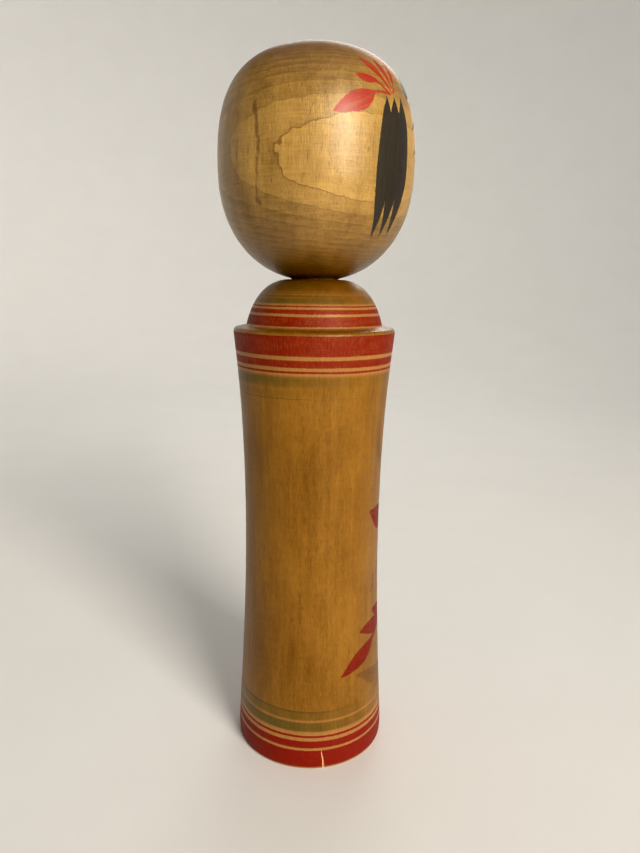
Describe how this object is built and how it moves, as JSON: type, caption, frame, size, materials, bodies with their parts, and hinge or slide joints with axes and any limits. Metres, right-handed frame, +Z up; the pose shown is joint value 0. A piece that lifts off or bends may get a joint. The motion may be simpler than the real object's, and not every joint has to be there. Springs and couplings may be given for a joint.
{
  "type": "kokeshi doll",
  "caption": "Turned wooden doll with a waisted trunk, a stepped shoulder dome with painted lathe lines, and a round head that turns on a snap-in tenon.",
  "frame": {"origin": "centre of the base, on the surface that the doll stands on", "axes": "+Z up along the turning axis; the face and the painted front look along -Y; +X is to the right as seen from the front"},
  "size_m": [0.0646, 0.0646, 0.242],
  "materials": {
    "body_wood": "aged pale close-grained wood of unknown species, waxed semi-matt, with vermilion and faded olive lathe lines and a brushed flower spray on the front",
    "head_wood": "aged pale close-grained wood of unknown species, waxed satin, with black brushed hair and face and a red brushed crown ornament"
  },
  "bodies": {
    "body": {"body": "body_wood"},
    "head": {"head": "head_wood"}
  },
  "joints": [
    {"name": "head_turn", "type": "hinge", "parent": "body", "child": "head", "pos_m": [0, 0, 0.168], "axis": [0, 0, 1], "continuous": true}
  ]
}
